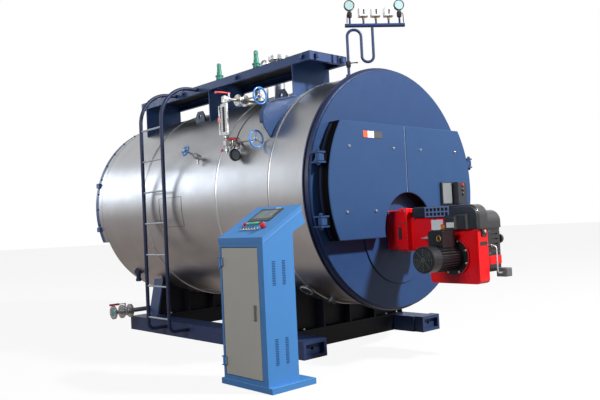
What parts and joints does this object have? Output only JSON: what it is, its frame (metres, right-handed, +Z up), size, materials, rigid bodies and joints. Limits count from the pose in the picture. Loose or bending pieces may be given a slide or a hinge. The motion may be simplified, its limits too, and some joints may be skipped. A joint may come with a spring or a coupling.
{
  "type": "industrial boiler",
  "caption": "Packaged fire-tube boiler on a skid with double smoke box doors, burner, walkway, ladder, fittings and a separate control desk",
  "frame": {"origin": "on the floor, under the middle of the front cross member of the skid", "axes": "X to the right facing the burner end, +Y from the burner end to the rear along the shell, Z up"},
  "size_m": [3.1909, 5.189, 3.384],
  "materials": {
    "clad_steel": "rolled stainless cladding sheet",
    "blue_paint": "mid blue gloss enamel",
    "navy_paint": "dark navy gloss enamel",
    "heat_black": "matt heat-proof black",
    "red_paint": "bright red burner enamel",
    "black_plastic": "matt black moulding",
    "grey_plastic": "dark grey moulded plastic",
    "motor_paint": "black enamel on the motor",
    "deck_plate": "painted chequer plate",
    "green_paint": "sea green valve paint",
    "pipe_steel": "plain steel pipe",
    "pipe_paint": "blue enamelled pipe",
    "valve_steel": "cast steel valve body",
    "white_metal": "silver white gauge body",
    "wheel_paint": "sky blue enamelled handwheel",
    "white_plastic": "white moulded case",
    "sky_paint": "sky blue powder coat",
    "grey_paint": "warm grey powder coat"
  },
  "bodies": {
    "root": {"shell_cladding": "clad_steel", "front_rim": "navy_paint", "front_plate": "blue_paint", "smoke_box_frame": "heat_black", "hinge_brackets": "blue_paint", "furnace_plate": "blue_paint", "burner_flange": "red_paint", "burner_head": "red_paint", "burner_fan_casing": "red_paint", "burner_cover": "black_plastic", "burner_rear_box": "black_plastic", "burner_servo_box": "grey_plastic", "burner_motor": "motor_paint", "rear_plate": "clad_steel", "rear_smoke_box": "clad_steel", "rear_cover": "navy_paint", "skid_beams": "navy_paint", "skid_cross_members": "navy_paint", "saddles": "navy_paint", "walkway_frame": "navy_paint", "walkway_deck": "deck_plate", "walkway_supports": "blue_paint", "ladder": "navy_paint", "safety_valves": "green_paint", "steam_outlet": "pipe_steel", "lifting_lugs": "navy_paint", "level_gauge": "white_metal", "gauge_pipes": "valve_steel", "side_valve": "valve_steel", "siphon_pipe": "pipe_paint", "manifold": "pipe_paint", "pressure_switches": "white_plastic", "pressure_gauges": "black_plastic", "blowdown_line": "valve_steel", "shell_fittings": "pipe_steel", "desk_body": "sky_paint", "desk_plinth": "sky_paint", "desk_controls": "grey_plastic"},
    "door_left": {"smoke_door_left": "blue_paint"},
    "door_right": {"smoke_door_right": "blue_paint", "door_control_boxes": "grey_plastic"},
    "desk_door": {"desk_door": "grey_paint"},
    "handwheel_upper": {"handwheel_upper": "wheel_paint"},
    "handwheel_lower": {"handwheel_lower": "wheel_paint"},
    "handwheel_side": {"handwheel_side": "wheel_paint"}
  },
  "joints": [
    {"name": "door_left_hinge", "type": "hinge", "parent": "root", "child": "door_left", "pos_m": [-1.13, -0.888, 1.516], "axis": [0, 0, -1], "range_deg": [0, 110]},
    {"name": "door_right_hinge", "type": "hinge", "parent": "root", "child": "door_right", "pos_m": [1.13, -0.888, 1.516], "axis": [0, 0, 1], "range_deg": [0, 110]},
    {"name": "desk_door_hinge", "type": "hinge", "parent": "root", "child": "desk_door", "pos_m": [-1.994, -0.6115, 0.575], "axis": [0, 0, -1], "range_deg": [0, 110]},
    {"name": "wheel_upper_turn", "type": "hinge", "parent": "root", "child": "handwheel_upper", "pos_m": [-1, 0.0077, 2.482], "axis": [0, -1, 0], "range_deg": [0, 1080]},
    {"name": "wheel_lower_turn", "type": "hinge", "parent": "root", "child": "handwheel_lower", "pos_m": [-1.122, -0.0573, 2.048], "axis": [0, -1, 0], "range_deg": [0, 1080]},
    {"name": "wheel_side_turn", "type": "hinge", "parent": "root", "child": "handwheel_side", "pos_m": [-1.25737, 0.95, 2.04194], "axis": [-0.9262, 0, 0.3771], "range_deg": [0, 1080]}
  ]
}
